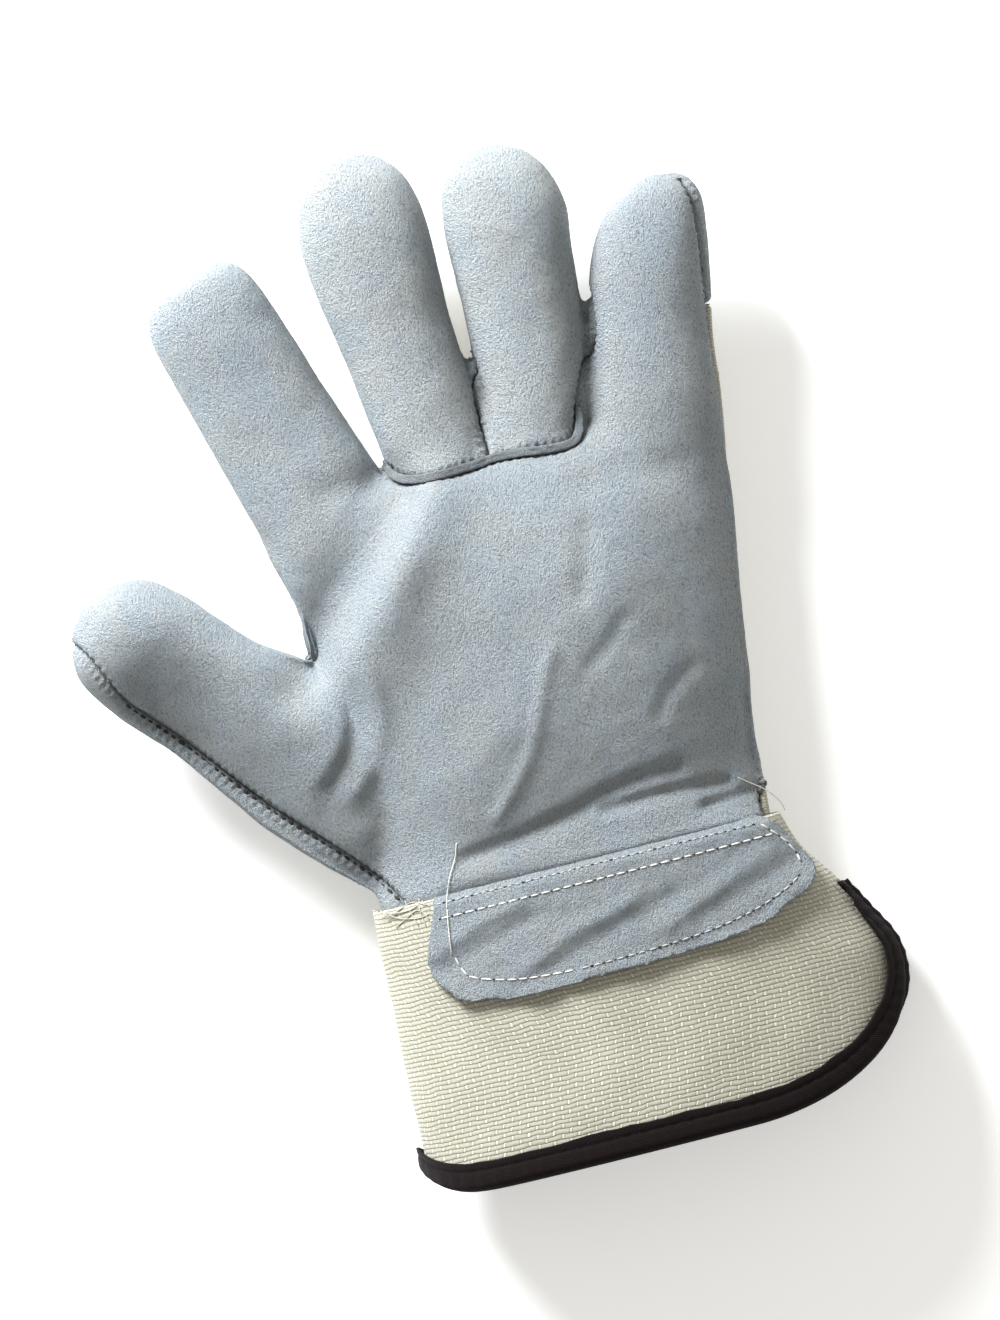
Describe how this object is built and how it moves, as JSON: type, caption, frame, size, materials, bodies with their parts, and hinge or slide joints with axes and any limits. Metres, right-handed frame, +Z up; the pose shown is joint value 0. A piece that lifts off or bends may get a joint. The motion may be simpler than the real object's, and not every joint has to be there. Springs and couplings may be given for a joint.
{
  "type": "rigger glove",
  "caption": "Left-hand rigger glove: split leather palm, fingers and thumb, canvas back and flared, split canvas safety cuff with bound hem.",
  "frame": {"origin": "on the floor under the middle of the glove's box, as it lies on its back with the palm up", "axes": "+Y from the cuff towards the fingertips, +Z up out of the palm, -X towards the thumb"},
  "size_m": [0.1954, 0.275, 0.0446],
  "materials": {
    "palm_suede": "matte napped suede, blue-grey",
    "finger_suede": "matte napped suede, lighter grey",
    "cut_edge": "matte cut leather edge, dark",
    "canvas": "coarse plain-woven cotton canvas, unbleached",
    "tape": "woven cotton tape, near black brown",
    "thread": "twisted sewing thread, cream"
  },
  "bodies": {
    "root": {"palm_leather": "palm_suede", "middle_finger_front": "finger_suede", "ring_finger_front": "finger_suede", "finger_base_welt": "cut_edge", "thumb_back": "palm_suede", "index_tip_back": "palm_suede", "middle_tip_back": "finger_suede", "ring_tip_back": "finger_suede", "little_tip_back": "palm_suede", "canvas_back": "canvas", "cuff": "canvas", "cuff_binding": "tape", "wrist_patch": "palm_suede"}
  },
  "joints": []
}
